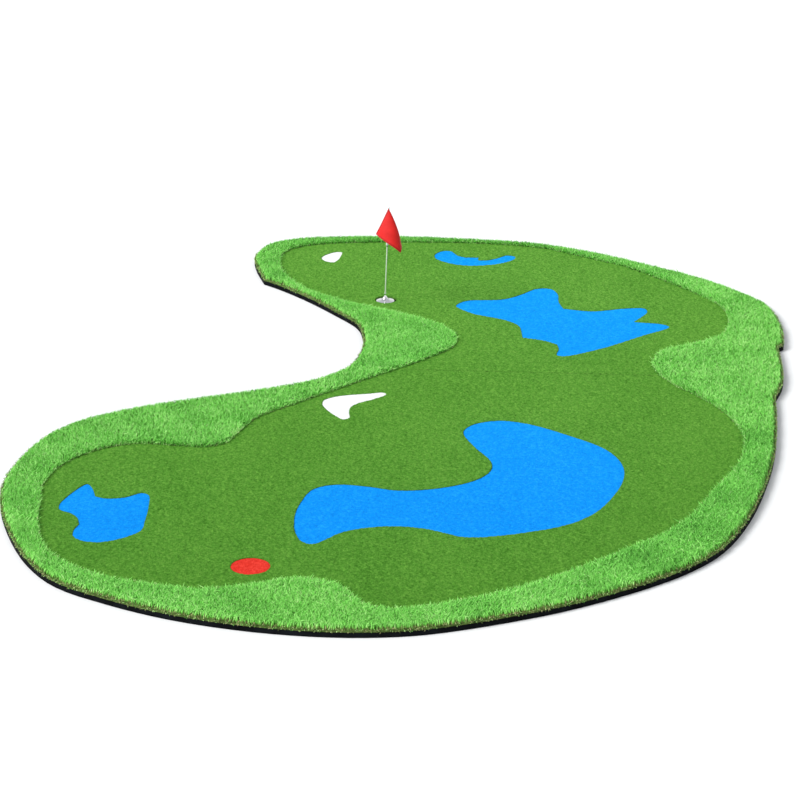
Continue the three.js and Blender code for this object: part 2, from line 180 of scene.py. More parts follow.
HALF_FLOOR = 60
FLOOR_DROP = 0.5 * MM  # so the floor and the foam's underside don't lie in one plane
floor_mesh = bpy.data.meshes.new("floor")
signs = ((-1, -1), (1, -1), (1, 1), (-1, 1))
floor_corners = [(x * HALF_FLOOR, y * HALF_FLOOR, -FLOOR_DROP) for x, y in signs]
floor_mesh.from_pydata(floor_corners, [], [(0, 1, 2, 3)])
floor = bpy.data.objects.new("floor", floor_mesh)
floor_finish, tree = new_material("white painted floor")
finish_material(tree, {"Color": linear("#f6f6f6")}, "ShaderNodeBsdfDiffuse")
floor_mesh.materials.append(floor_finish)
scene.collection.objects.link(floor)
print("floor, sun and world made")


# %% [markdown]
# ## Reading a piece's outline from the frame
#
# Every layer of the mat is a flat slab with a free-form outline. Its outline isn't drawn again here: it is
# the rim of the CAD piece's top face. A triangle's side that no neighbour shares is on the rim, so the rim
# is every directed side whose opposite is missing. The piece's inside always lies on a rim side's left.

# %% Outlines
def merged(name):
    """A CAD piece's points and triangles. Its mesh holds loose triangles, so equal points are made one."""
    mesh = frame["nodes"][name].data
    points = np.empty(3 * len(mesh.vertices), np.float32)
    mesh.vertices.foreach_get("co", points)
    corners = np.empty(len(mesh.loops), np.int32)
    mesh.loops.foreach_get("vertex_index", corners)
    unique, number = np.unique(points.reshape(-1, 3), axis=0, return_inverse=True)
    return unique.astype(float), number.reshape(-1)[corners].reshape(-1, 3)


def directed_sides(triangles):
    """All three sides of each triangle, as pairs of point numbers in the triangle's own direction."""
    return np.concatenate([triangles[:, [0, 1]], triangles[:, [1, 2]], triangles[:, [2, 0]]])


def rim_of(name):
    """The outline of a flat piece's top, as directed sides: an array of (side, end, x or y)."""
    points, triangles = merged(name)
    on_top = points[:, 2] > points[:, 2].max() - 0.01 * MM
    sides = directed_sides(triangles[on_top[triangles].all(1)])
    count = len(points)
    forward = sides[:, 0] * count + sides[:, 1]
    backward = sides[:, 1] * count + sides[:, 0]
    return points[sides[~np.isin(forward, backward)]][:, :, :2]


def inside(places, rim):
    """True for each place inside a rim. A line from it towards +X crosses the rim an odd number of times."""
    (ax, ay), (bx, by) = rim[:, 0].T, rim[:, 1].T
    rise = np.where(by == ay, 1, by - ay)
    found = []
    for block in np.array_split(places, 1 + len(places) // 8000):
        x, y = block[:, :1], block[:, 1:2]
        crossed = ((ay > y) != (by > y)) & (x < ax + (y - ay) * (bx - ax) / rise)
        found.append(crossed.sum(1) % 2 == 1)
    return np.concatenate(found)


def nearest(places, sides):
    """Each place's distance to the nearest side, and that side's number. The nearest point of a side is the
    foot of the perpendicular on it, kept between the side's two ends."""
    start, along = sides[:, 0], sides[:, 1] - sides[:, 0]
    squared = np.maximum((along**2).sum(1), 1e-18)
    distances, numbers = [], []
    for block in np.array_split(places, 1 + len(places) // 4000):
        offset = block[:, None] - start
        share = np.clip((offset * along).sum(2) / squared, 0, 1)
        gap = np.linalg.norm(offset - share[..., None] * along, axis=2)
        numbers.append(gap.argmin(1))
        distances.append(gap.min(1))
    return np.concatenate(distances), np.concatenate(numbers)


def outward(sides):
    """The unit vector that points out of the piece at each side: the side's direction turned right."""
    along = sides[:, 1] - sides[:, 0]
    return np.stack([along[:, 1], -along[:, 0]], 1) / np.linalg.norm(along, axis=1)[:, None]


LAYERS = {
    layer: [name for name in frame["nodes"] if name.startswith(start)]
    for layer, start in (
        ("foam", "base_panel"),
        ("putting", "putting_turf"),
        ("fringe", "fringe"),
        ("pond", "pond"),
        ("bunker", "bunker"),
        ("tee", "tee_disc"),
    )
}
rims = {name: rim_of(name) for layer in LAYERS.values() for name in layer}
print("rims:", {name: len(rim) for name, rim in rims.items()})


# %% [markdown]
# ## A slab of pile
#
# Seen from above a clipped pile is a rough, slightly uneven surface. It could be a subdivided CAD face, but
# that face has long thin triangles. So each slab is made anew: its rim is cut into short sides, points are
# scattered inside, a constrained Delaunay triangulation joins them, and the points are moved up and down.
# The walls hang from the same rim and a plain bottom closes the piece.

# %% Slabs
ROW_GAP = 0.87  # the gap between rows of a triangular grid, as a share of the gap within a row


def divided(rim, step):
    """A rim with its long sides cut into equal parts no longer than step."""
    parts = np.maximum(1, np.ceil(np.linalg.norm(rim[:, 1] - rim[:, 0], axis=1) / step)).astype(int)
    number = np.repeat(np.arange(len(rim)), parts)
    part = np.arange(parts.sum()) - np.repeat(np.cumsum(parts) - parts, parts)
    start, along = rim[number, 0], rim[number, 1] - rim[number, 0]
    from_share = (part / parts[number])[:, None]
    to_share = ((part + 1) / parts[number])[:, None]
    ends = np.where(to_share == 1, rim[number, 1], start + along * to_share)
    return np.stack([start + along * from_share, ends], 1)


def scattered(rim, cell, rng, clear=0.5):
    """Places inside a rim, on a grid with every other row moved half a cell and each place moved at random
    by up to a third of a cell. None is closer to the rim than `clear` cells."""
    low, high = rim.min((0, 1)), rim.max((0, 1))
    rows = np.arange(low[1], high[1], cell * ROW_GAP)
    columns = np.arange(low[0], high[0], cell)
    x, y = np.meshgrid(columns, rows)
    x = x + (np.arange(len(rows)) % 2)[:, None] * cell / 2
    places = np.stack([x.ravel(), y.ravel()], 1)
    places += rng.uniform(-0.33, 0.33, places.shape) * cell
    places = places[inside(places, rim)]
    return places[nearest(places, rim)[0] > clear * cell]


def joined(rim_places, sides, inner, rim):
    """Triangles that join the rim's places and the inner ones, and keep every rim side."""
    places = np.concatenate([rim_places, inner])
    corners = [Vector(p) for p in places.tolist()]
    result = delaunay_2d_cdt(corners, sides.tolist(), [], 0, 1e-9, False)
    assert len(result[0]) == len(places), "the triangulation added a point"
    triangles = np.array(result[2])
    middle = places[triangles].mean(1)
    return triangles[inside(middle, rim)]


def pile_slab(rim, bottom, cell, height, rng):
    """A closed slab: a top whose height is `height(places, distance from the rim)`, walls and a bottom.
    Gives its points, its triangles and the number of points on the top."""
    short = divided(rim, cell)
    rim_places, number = np.unique(np.round(short.reshape(-1, 2), 7), axis=0, return_inverse=True)
    sides = number.reshape(-1, 2)
    inner = scattered(rim, cell, rng)
    top = joined(rim_places, sides, inner, rim)
    places = np.concatenate([rim_places, inner])
    distance = np.concatenate([np.zeros(len(rim_places)), nearest(inner, rim)[0]])
    count, low = len(places), len(rim_places)
    points = np.concatenate([
        np.column_stack([places, height(places, distance)]),
        np.column_stack([rim_places, np.full(low, bottom)]),
    ])
    a, b = sides.T
    walls = np.concatenate([
        np.column_stack([a + count, b + count, b]),
        np.column_stack([a + count, b, a]),
    ])
    under = joined(rim_places, sides, np.empty((0, 2)), rim)[:, ::-1] + count
    return points, np.concatenate([top, walls, under]), count


def new_piece(name, points, triangles, material, attributes=None, smooth=False):
    """A mesh object from arrays, with its place in its mesh, and numbers on its points for the material."""
    mesh = bpy.data.meshes.new(name)
    mesh.vertices.add(len(points))
    mesh.vertices.foreach_set("co", np.asarray(points, np.float32).ravel())
    size = triangles.shape[1]
    mesh.loops.add(triangles.size)
    mesh.loops.foreach_set("vertex_index", triangles.astype(np.int32).ravel())
    mesh.polygons.add(len(triangles))
    mesh.polygons.foreach_set("loop_start", np.arange(0, triangles.size, size, dtype=np.int32))
    mesh.update(calc_edges=True)
    mesh.polygons.foreach_set("use_smooth", np.full(len(triangles), smooth))
    for key, values in (attributes or {}).items():
        mesh.attributes.new(key, "FLOAT", "POINT").data.foreach_set("value", np.asarray(values, np.float32))
    mesh.materials.append(material)
    piece = bpy.data.objects.new(name, mesh)
    scene.collection.objects.link(piece)
    return piece


def stands_for(piece, node, body, slot):
    """The piece is shown in the CAD piece's place and moves with its body. Its `slot` is not used."""
    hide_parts(node)
    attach(piece, body)


def waves(places, length, rng, count=7):
    """Smooth random hills, mostly between -1 and 1: the mean of sine waves of about that length in random
    directions, raised because the waves partly cancel out."""
    heading = rng.uniform(0, 2 * np.pi, count)
    number = 2 * np.pi / (length * rng.uniform(0.6, 1.6, count))
    phase = rng.uniform(0, 2 * np.pi, count)
    across = places @ np.stack([np.cos(heading), np.sin(heading)])
    return np.sin(across * number + phase).mean(1) * 1.8


# %% [markdown]
# ## Putting turf
#
# The green is polyethylene turf, tufted, then sheared to 12 mm so that a ball rolls. It is matt, with a
# grain of a few millimetres where bundles of yarn stand slightly apart, and broad, faint patches where the
# pile leans towards or away from the light. These patches, and a darker tee end, are painted light and shade.

# %% Pile material
TUFT = 4.5 * MM
YARN = 1.6 * MM
ROW_STRETCH = 0.45
# The painted nap shade fades out between these two places along Y.
NAP_FROM, NAP_TO = -2.2, 1.8  # the change of nap runs between these two places along Y


def pile_finish(name, deep, mid, pale, grain, near, cut):
    """Sheared polyethylene pile. It hardly shines, so it has almost no specular part. The speckle is one
    tuft wide and longer along Y, the way the rows of tufts run. A smaller `grain` gives more contrast.
    `near` is a painted shade at the tee end, where the nap leans away from the light, and it fades towards
    the cup end. `cut` is a painted shade on the cut rim and the walls, where the yarn stands in shade."""
    material, tree = new_material(name)
    place = add_node(tree, "ShaderNodeTexCoord").outputs["Object"]
    rows = add_node(tree, "ShaderNodeMapping", {"Vector": place, "Scale": (1, ROW_STRETCH, 1)}).outputs[0]
    fine = blend(tree, 0.35, noise(tree, rows, 1 / TUFT, 2.0), stored(tree, "tone"))
    # Broad patches of painted light and shade, where the pile leans towards or away from the light.
    wide = blend(tree, 0.5, noise(tree, rows, 0.2 / TUFT, 3.0), noise(tree, rows, 2.5, 2.0))
    both = blend(tree, 0.22, fine, wide)
    speckle = ramp(tree, both, (0.5 - grain, deep), (0.5 + grain, pale), (0.5, mid))
    along = add_node(tree, "ShaderNodeSeparateXYZ", {"Vector": place}).outputs["Y"]
    reach = {"Value": along, "From Min": NAP_FROM, "From Max": NAP_TO}
    share = add_node(tree, "ShaderNodeMapRange", reach).outputs[0]
    # Painted shade: the colour `near` at the tee end, fading to none at the cup end.
    nap = ramp(tree, share, (0.0, near), (1.0, "#ffffff"))
    toned = colour_blend(tree, 1.0, speckle, nap, "MULTIPLY")
    # Painted shade at a cut: the colour `cut`, by the share stored as rim.
    cut_shaded = colour_blend(tree, stored(tree, "rim"), toned, linear(cut))
    ends = bump(tree, noise(tree, place, 1 / YARN, 1.0), 1 * MM, 0.5)
    finish_material(
        tree,
        {"Base Color": cut_shaded, "Roughness": 0.9, "Specular IOR Level": 0.03, "Normal": ends},
    )
    return material


putting_green = pile_finish(
    "sheared green polyethylene pile",
    deep="#3c761f",
    mid="#5b9635",
    pale="#79b148",
    grain=0.2,
    near="#e0e6dc",
    cut="#456a28",
)

# %% Putting turf
CUT_REACH = 3 * MM  # how far a knife cut unsettles the pile beside it
CUT_SINK = 0.5 * MM
seeds = {name: number for number, name in enumerate(sorted(frame["nodes"]))}


def sheared_pile(name, material, slot, cell, roughness, cut_shade_share):
    """A flat turf or inlay. Its top is half of `roughness` below its CAD height, with each tuft up or down
    at random by up to `roughness`. Its cut rim is smoother, sinks by half a millimetre, and takes a painted
    shade, the material's colour `cut`, by the share given as the last argument; the walls and bottom take all
    of it."""
    rng = np.random.default_rng(seeds[name])
    low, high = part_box(name)
    edge = []

    def height(places, distance):
        near_cut = np.exp(-distance / CUT_REACH)
        edge.append(near_cut)
        tuft = rng.uniform(-1, 1, len(places)) * roughness * (1 - 0.6 * near_cut)
        return high[2] - 0.5 * roughness + tuft - CUT_SINK * near_cut

    points, triangles, top = pile_slab(rims[name], low[2], cell, height, rng)
    # The painted shade at the cut: a share of it on the top beside the rim, all of it on the walls and
    # bottom.
    rim = np.concatenate([cut_shade_share * edge[0], np.ones(len(points) - top)])
    attributes = {"tone": rng.uniform(0.1, 0.9, len(points)), "rim": rim}
    piece = new_piece(name + "_pile", points, triangles, material, attributes, smooth=True)
    piece.data.set_sharp_from_angle(angle=math.radians(70))
    stands_for(piece, name, "mat", slot)
    print(piece.name, "has", len(triangles), "triangles")


for name in LAYERS["putting"]:
    sheared_pile(name, putting_green, "putting_turf", 7.2 * MM, 2.6 * MM, 0.3)

# %% [markdown]
# ## Ponds, bunkers and tee
#
# These are the same kind of turf in blue, white and red, clipped 3 mm shorter and let into holes in the
# green. Their tufts stand more evenly, so they look smoother, with only faint specks.

# %% Inlays
pond_blue = pile_finish(
    "sheared blue polyethylene pile",
    deep="#0a8ae2",
    mid="#0a98f2",
    pale="#22aaff",
    grain=0.16,
    near="#ece8f8",
    cut="#0a72bc",
)
bunker_white = pile_finish(
    "sheared white polyethylene pile",
    deep="#e4e7e6",
    mid="#f6f7f6",
    pale="#fcfcfc",
    grain=0.2,
    near="#fafafa",
    cut="#c9ccc9",
)
tee_red = pile_finish(
    "sheared red polyethylene pile",
    deep="#c8291d",
    mid="#e0382d",
    pale="#ee4b3d",
    grain=0.18,
    near="#fafafa",
    cut="#9c2118",
)

INLAY_FINISH = {
    "pond": (pond_blue, "blue_turf"),
    "bunker": (bunker_white, "white_turf"),
    "tee": (tee_red, "red_turf"),
}
for kind, (material, slot) in INLAY_FINISH.items():
    for name in LAYERS[kind]:
        sheared_pile(name, material, slot, 8 * MM, 1.0 * MM, 0.1)

# %% [markdown]
# ## Fringe turf
#
# The border is landscape turf: 30 mm blades in many greens over a curly brown thatch. Each real tuft has a
# dozen blades 1.5 mm wide, too fine to show, so one modelled blade stands for a bundle and is as wide as it
# needs to be. A blade is a closed spindle of six triangles: a root, a belly of three points and a tip. It
# leans, and droops further above the belly. At the outer cut the blades stand back, and short brown thatch
# fibres cover the cut's face. At the green the blades lean out over the short pile.

# %% Blades
BELLY = 0.45  # how far up a blade its widest place is, as a share of its length


def blades(roots, heading, lean, droop, length, width, rng):
    """Spindles of grass. Each leans from the vertical by `lean` towards `heading`, and by `droop` more above
    its belly. Gives points (blade, 5, xyz) and triangles (blade, 6, 3)."""
    count = len(roots)
    flat = np.stack([np.cos(heading), np.sin(heading), np.zeros(count)], 1)
    up = np.array([0, 0, 1.0])

    def towards(angle):
        return np.sin(angle)[:, None] * flat + np.cos(angle)[:, None] * up

    lower, upper = towards(lean), towards(lean + droop)
    belly = roots + BELLY * length[:, None] * lower
    tip = belly + (1 - BELLY) * length[:, None] * upper
    turn = heading + rng.uniform(-0.9, 0.9, count) + np.pi / 2
    side = np.stack([np.cos(turn), np.sin(turn), np.zeros(count)], 1)
    side -= (side * lower).sum(1)[:, None] * lower
    side /= np.linalg.norm(side, axis=1)[:, None]
    out = np.cross(lower, side)
    half_width = width[:, None] / 2
    ring = [belly - side * half_width, belly + side * half_width, belly + out * half_width * 0.7]
    points = np.stack([*ring, roots, tip], 1)
    pattern = np.array([[0, 1, 4], [1, 2, 4], [2, 0, 4], [1, 0, 3], [2, 1, 3], [0, 2, 3]])
    triangles = pattern[None] + 5 * np.arange(count)[:, None, None]
    return points, triangles


def kinds_of_side(name):
    """A fringe strip's rim, split into its outer cut, its edge on the green and its seams. A side within a
    millimetre of the green or of another strip meets it."""
    rim = divided(rims[name], 40 * MM)
    middle = rim.mean(1)
    green = np.concatenate([rims[n] for n in LAYERS["putting"]])
    others = np.concatenate([rims[n] for n in LAYERS["fringe"] if n != name])
    by_green = nearest(middle, green)[0] < 1 * MM
    by_strip = nearest(middle, others)[0] < 1 * MM
    return rim[~by_green & ~by_strip], rim[by_green], rim[by_strip]


# %% Fringe material
def fringe_finish():
    """Extruded polyethylene blades with a slight waxy sheen. Each one has a tone of its own, and a painted
    shade from the number stored as height: dark and brownish at the root, where little light reaches, and
    none at the tip."""
    material, tree = new_material("extruded green polyethylene blades")
    tone = stored(tree, "tone")
    green = ramp(tree, tone, (0.0, "#3c8829"), (1.0, "#d4ffaa"), (0.5, "#8fe667"))
    # Painted shade: the number stored as height is the light that reaches each point, dark olive at 0 and
    # none from 0.7 up.
    shade = ramp(tree, stored(tree, "height"), (0.0, "#6d7b4c"), (0.7, "#ffffff"), (0.35, "#ccd8b4"))
    leaf = colour_blend(tree, 1.0, green, shade, "MULTIPLY")
    curl = ramp(tree, tone, (0.0, "#3d3f22"), (1.0, "#b9ae80"), (0.5, "#767a48"))
    colour = colour_blend(tree, stored(tree, "thatch"), leaf, curl)
    finish_material(tree, {"Base Color": colour, "Roughness": 0.6, "Specular IOR Level": 0.15})
    return material


fringe_green = fringe_finish()

# %% Fringe strips
BLADES_PER_M2 = 70000
MOST_BLADES = 29500  # on one strip
BED_CELL = 20 * MM
BED_HEIGHT = 7 * MM
BED_ROUGHNESS = 3 * MM
CUT_FIBRES_PER_M = 550
CUT_FIBRE_INSET = 1.5 * MM
EVEN_TOP = 50.5 * MM  # the blades are mown to about this height above the floor

# In degrees: how far a blade leans, and how much further it droops above its belly.
LEAN, LEAN_SPREAD, MOST_LEAN = 19, 11, 38
DROOP, DROOP_SPREAD, MOST_DROOP = 20, 10, 34

# How much lighter or darker each strip is painted: the strips were cut from rolls with their nap laid
# different ways, so each one catches the light differently.
STRIP_NAP_SHADE = {
    "fringe_back_left": -0.05,
    "fringe_back_right": 0.0,
    "fringe_right": 0.015,
    "fringe_front_right": -0.1,
    "fringe_front": 0.0,
    "fringe_left_end": -0.03,
    "fringe_left": 0.0,
    "fringe_bay": -0.03,
}


def turned_towards(heading, goal, share):
    """A heading turned the short way by a share of its angle to the goal."""
    return heading + share * ((goal - heading + np.pi) % (2 * np.pi) - np.pi)


def standing_blades(name, roots, bottom, outer, inner, seams, rng):
    """The blades all over a strip, as arrays with a value for each root. Their angles are drawn in degrees
    and their sizes in millimetres, and each is as long as it must be to reach the even top."""
    count = len(roots)
    heading = rng.uniform(0, 2 * np.pi, count)
    lean = np.radians(np.clip(rng.normal(LEAN, LEAN_SPREAD, count), 0, MOST_LEAN))
    droop = np.radians(np.clip(rng.normal(DROOP, DROOP_SPREAD, count), 0, MOST_DROOP))
    width = rng.uniform(3.2, 5.6, count) * MM
    # The strip's painted nap shade shifts the tone of all its blades.
    tone = 0.5 + STRIP_NAP_SHADE[name] + 0.16 * rng.normal(size=count) + 0.08 * waves(roots, 0.3, rng)
    foot = bottom + rng.uniform(2, 6, count) * MM
    top = EVEN_TOP + rng.normal(0, 2.2, count) * MM

    # Blades at the outer cut lean in, so the cut stays clean. At the green they lean out over it.
    to_outer, number = nearest(roots, outer)
    way = outward(outer)[number]
    near = np.exp(-to_outer / (14 * MM))
    heading = turned_towards(heading, np.arctan2(-way[:, 1], -way[:, 0]), np.clip(1.4 * near, 0, 0.9))
    to_green = np.full(count, 1.0)
    if len(inner):
        to_green, number = nearest(roots, inner)
        way = outward(inner)[number]
        near = np.exp(-to_green / (10 * MM))
        heading = turned_towards(heading, np.arctan2(way[:, 1], way[:, 0]), 0.5 * near)

    # They are a little shorter at the seams, at the outer cut and at the green.
    to_seam = nearest(roots, seams)[0]
    top = top - 8 * MM * np.exp(-to_seam / (4 * MM)) - 7 * MM * np.exp(-to_outer / (7 * MM))
    top = top - 5 * MM * np.exp(-to_green / (8 * MM))
    length = (top - foot) / (BELLY * np.cos(lean) + (1 - BELLY) * np.cos(lean + droop))

    # Some are curled fibres of the thatch that show between the blades, most of them near the cuts.
    chance = 0.8 * np.exp(-to_outer / (14 * MM)) + 0.5 * np.exp(-to_green / (6 * MM)) + 0.02
    curled = rng.uniform(size=count) < chance
    return {
        "roots": np.column_stack([roots, foot]),
        "heading": heading,
        "lean": np.where(curled, np.radians(rng.uniform(10, 60, count)), lean),
        "droop": np.where(curled, np.radians(rng.uniform(20, 70, count)), droop),
        "length": np.where(curled, rng.uniform(14, 24, count) * MM, length),
        "width": np.where(curled, 0.8 * width, width),
        "tone": tone,
        "thatch": 0.85 * curled,
        # The light that the blade's root is painted with, more near the green.
        "light": 0.7 * np.exp(-to_green / (16 * MM)),
    }


def cut_fibres(outer, inner, bottom, rng):
    """Curled fibres that cover a strip's cuts, as arrays of the same kind. They point out of the thatch every
    way. At the outer cut they hang down over it, and at the green they are greener and reach higher."""
    cuts = np.concatenate([outer, inner])
    way = outward(cuts)
    share = CUT_FIBRES_PER_M * np.linalg.norm(cuts[:, 1] - cuts[:, 0], axis=1)
    number = np.repeat(np.arange(len(cuts)), rng.poisson(share))
    count = len(number)
    part = rng.uniform(size=(count, 1))
    on_cut = cuts[number, 0] * (1 - part) + cuts[number, 1] * part - CUT_FIBRE_INSET * way[number]
    at_green = number >= len(outer)
    climb = rng.uniform(0, 1, count) * np.where(at_green, 22, 15) * MM
    hang = np.where(at_green, 0, 30)
    faded = np.where(at_green, 0.35, 0.9)
    return {
        "roots": np.column_stack([on_cut, bottom + climb]),
        "heading": np.arctan2(*way[number].T[::-1]) + rng.normal(0, 0.9, count),
        "lean": np.radians(rng.uniform(10, 70, count) + hang),
        "droop": np.radians(rng.uniform(0, 80, count)),
        "length": rng.uniform(6, 13, count) * MM,
        "width": rng.uniform(2.4, 4.2, count) * MM,
        "tone": rng.uniform(np.where(at_green, 0.35, 0), 1),
        "thatch": np.where(rng.uniform(size=count) < 0.55, faded, faded / 3),
        # The light that the fibre's root is painted with: little at the outer cut, much at the green.
        "light": np.where(at_green, 0.8, 0.15),
    }


def fringe_strip(name):
    """A strip of fringe: an uneven bed of thatch, blades all over it, and curled fibres at its cuts."""
    rng = np.random.default_rng(seeds[name])
    rim = rims[name]
    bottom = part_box(name)[0][2]
    outer, inner, seams = kinds_of_side(name)

    def bed_height(places, distance):
        return bottom + BED_HEIGHT + BED_ROUGHNESS * rng.uniform(-1, 1, len(places))

    bed, bed_triangles, _ = pile_slab(rim, bottom, BED_CELL, bed_height, rng)

    (ax, ay), (bx, by) = rim[:, 0].T, rim[:, 1].T
    area = abs((ax * by - bx * ay).sum()) / 2
    wanted = min(MOST_BLADES, area * BLADES_PER_M2)
    roots = scattered(rim, math.sqrt(area / wanted / ROW_GAP), rng, clear=0.3)
    standing = standing_blades(name, roots, bottom, outer, inner, seams, rng)
    fibres = cut_fibres(outer, inner, bottom, rng)
    every = {key: np.concatenate([standing[key], fibres[key]]) for key in standing}
    shape = (every[key] for key in ("roots", "heading", "lean", "droop", "length", "width"))
    points, triangles = blades(*shape, rng)
    tone = np.clip(every["tone"], 0, 1)

    # The painted shade is lighter at the green's edge, where light reaches deeper than in the thick of the
    # strip.
    start, count = len(bed), len(tone)
    bed_light = np.full(start, 0.0)
    if len(inner):
        bed_light = np.exp(-nearest(bed[:, :2], inner)[0] / (16 * MM))
    # Painted shade, stored as height: full light at each tip, at least 0.45 at the belly, and at the root
    # only what reaches it. The bed is painted dark, with its shade and its tone lighter near the green.
    belly_light = np.maximum(0.45, every["light"])
    lit = np.stack([belly_light, belly_light, belly_light, every["light"], np.ones(count)], 1)
    attributes = {
        "tone": np.concatenate([rng.uniform(0, 0.5, start) + 0.3 * bed_light, np.repeat(tone, 5)]),
        "height": np.concatenate([0.1 + 0.5 * bed_light, lit.ravel()]),
        "thatch": np.concatenate([np.full(start, 0.6), np.repeat(every["thatch"], 5)]),
    }
    points = np.concatenate([bed, points.reshape(-1, 3)])
    triangles = np.concatenate([bed_triangles, triangles.reshape(-1, 3) + start])
    piece = new_piece(name + "_grass", points, triangles, fringe_green, attributes)
    stands_for(piece, name, "mat", "fringe_turf")
    print(piece.name, "has", count, "blades on", round(area, 3), "m2 and", len(triangles), "triangles")


for name in LAYERS["fringe"]:
    fringe_strip(name)

# %% [markdown]
# ## Foam panels
#
# The underlay is black closed-cell polyethylene foam, knife-cut from sheet. Only its cut edge shows: it is
# matt black with fine cells. The CAD shape is right, so the pieces stay and only get their material.

# %% Foam
def foam_finish():
    """Closed-cell foam: matt black. Its cells are about 1.5 mm across, drawn at 3 mm so that they show."""
    material, tree = new_material("black closed-cell polyethylene foam")
    place = add_node(tree, "ShaderNodeTexCoord").outputs["Object"]
    cells = add_node(tree, "ShaderNodeTexVoronoi", {"Vector": place, "Scale": 1 / (3 * MM)})
    colour = ramp(tree, noise(tree, place, 14.0, 4.0), (0.35, "#040507"), (0.75, "#12161a"))
    pits = bump(tree, cells.outputs["Distance"], 0.6 * MM, 0.5)
    finish_material(
        tree,
        {"Base Color": colour, "Roughness": 0.85, "Specular IOR Level": 0.08, "Normal": pits},
    )
    return material


foam_black = foam_finish()
for name in LAYERS["foam"]:
    for slot in frame["nodes"][name].material_slots:
        slot.material = foam_black
print("foam on", len(LAYERS["foam"]), "panels")

# %% [markdown]
# ## Turned pieces
#
# The foot, the stick and its fittings are all round. A round piece is a half section carried round an axis.
# The CAD piece already holds that section, in the sides that run along one of its meridians, so the section
# is read from the frame, its sharp corners are eased by a small radius, and it is spun in fine steps.

# %% Sections
SPIN_STEPS = 96
SAME_MERIDIAN = 0.01  # radians
SHARP_CORNER = math.radians(25)
turn = next(joint for joint in frame["joints"] if joint["name"] == "flag_turn")
stick_axis = np.array(turn["axis"]) / np.linalg.norm(turn["axis"])
stick_foot = np.array(turn["pos_m"])
shell_low, shell_high = (np.array(corner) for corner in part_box("flag_foot_shell"))
foot_centre = np.append(((shell_low + shell_high) / 2)[:2], 0)
upright = np.array([0, 0, 1.0])


def frame_round(axis):
    """Two unit vectors at right angles to the axis and each other. The second is near +Y."""
    first = np.array([axis[2], 0, -axis[0]])
    return first, np.cross(axis, first)


def in_order(sides):
    """The point numbers of a path or a loop of sides, in order, and whether it is a loop. It is walked from
    an end, if there is one, always to the neighbour that wasn't just left."""
    links = {}
    for a, b in sides.tolist():
        links.setdefault(a, set()).add(b)
        links.setdefault(b, set()).add(a)
    ends = [point for point, others in links.items() if len(others) == 1]
    path = [min(ends or links)]
    while True:
        onward = [point for point in sorted(links[path[-1]]) if point not in path[-2:]]
        if not onward or onward[0] == path[0]:
            return path, not ends
        path.append(onward[0])


def half_section(name, centre, axis):
    """A turned CAD piece's section as (radius, height) points: those on its axis or on its first meridian."""
    points, triangles = merged(name)
    offset = points - centre
    height = offset @ axis
    spoke = offset - height[:, None] * axis
    radius = np.linalg.norm(spoke, axis=1)
    first, second = frame_round(axis)
    angle = np.arctan2(spoke @ second, spoke @ first)
    on_axis = radius < 0.05 * MM
    start = angle[~on_axis & (angle > SAME_MERIDIAN)].min()
    chosen = on_axis | (np.abs(angle - start) < SAME_MERIDIAN)
    sides = directed_sides(triangles)
    path, loop = in_order(sides[chosen[sides].all(1)])
    return np.column_stack([np.where(on_axis, 0, radius), height])[path], loop


def eased(section, loop, radius):
    """The section with each sharp corner cut back by `radius`, or by 40% of a side that is too short for
    that, and rounded through the point half-way between the corner and the chord."""
    found = []
    count = len(section)
    for number, corner in enumerate(section):
        if not loop and number in (0, count - 1):
            found.append(corner)
            continue
        before = section[number - 1] - corner
        after = section[(number + 1) % count] - corner
        lengths = np.linalg.norm(before), np.linalg.norm(after)
        cosine = -(before @ after) / (lengths[0] * lengths[1])
        if cosine > math.cos(SHARP_CORNER):
            found.append(corner)
            continue
        cut = min(radius, 0.4 * min(lengths))
        a, b = corner + before / lengths[0] * cut, corner + after / lengths[1] * cut
        found += [a, 0.5 * corner + 0.25 * (a + b), b]
    return np.array(found)


def facing_out(points, triangles):
    """The triangles of a closed surface, turned over if the volume that they enclose comes out negative."""
    a, b, c = (points[triangles] - points.mean(0)).transpose(1, 0, 2)
    return triangles if (a * np.cross(b, c)).sum() > 0 else triangles[:, ::-1]


def spun(section, loop, centre, axis, steps=SPIN_STEPS):
    """The section carried round the axis: radius r and height h become centre + h axis + r (cos t, sin t).
    Points that fall together on the axis are made one, and the slivers between them are dropped."""
    first, second = frame_round(axis)
    around = np.arange(steps) * 2 * np.pi / steps
    spoke = np.cos(around)[:, None] * first + np.sin(around)[:, None] * second
    radius, height = section.T
    grid = centre + height[:, None, None] * axis + radius[:, None, None] * spoke
    rows = len(section)
    row, column = np.meshgrid(np.arange(rows if loop else rows - 1), np.arange(steps), indexing="ij")
    below, beside = (row + 1) % rows, (column + 1) % steps
    a, b = row * steps + column, below * steps + column
    c, d = below * steps + beside, row * steps + beside
    triangles = np.stack([a, b, c, a, c, d], -1).reshape(-1, 3)
    points, number = np.unique(np.round(grid.reshape(-1, 3), 8), axis=0, return_inverse=True)
    triangles = number.reshape(-1)[triangles]
    a, b, c = triangles.T
    triangles = triangles[(a != b) & (b != c) & (c != a)]
    return points, facing_out(points, triangles)


def turned_piece(node, name, centre, axis, ease, material, body, slot):
    """A fine, eased copy of a turned CAD piece, shown in its place."""
    section, loop = half_section(node, centre, axis)
    points, triangles = spun(eased(section, loop, ease), loop, centre, axis)
    piece = new_piece(name, points, triangles, material, smooth=True)
    piece.data.set_sharp_from_angle(angle=math.radians(35))
    stands_for(piece, node, body, slot)
    print(name, "has a section of", len(section), "points and", len(triangles), "triangles")
    return section


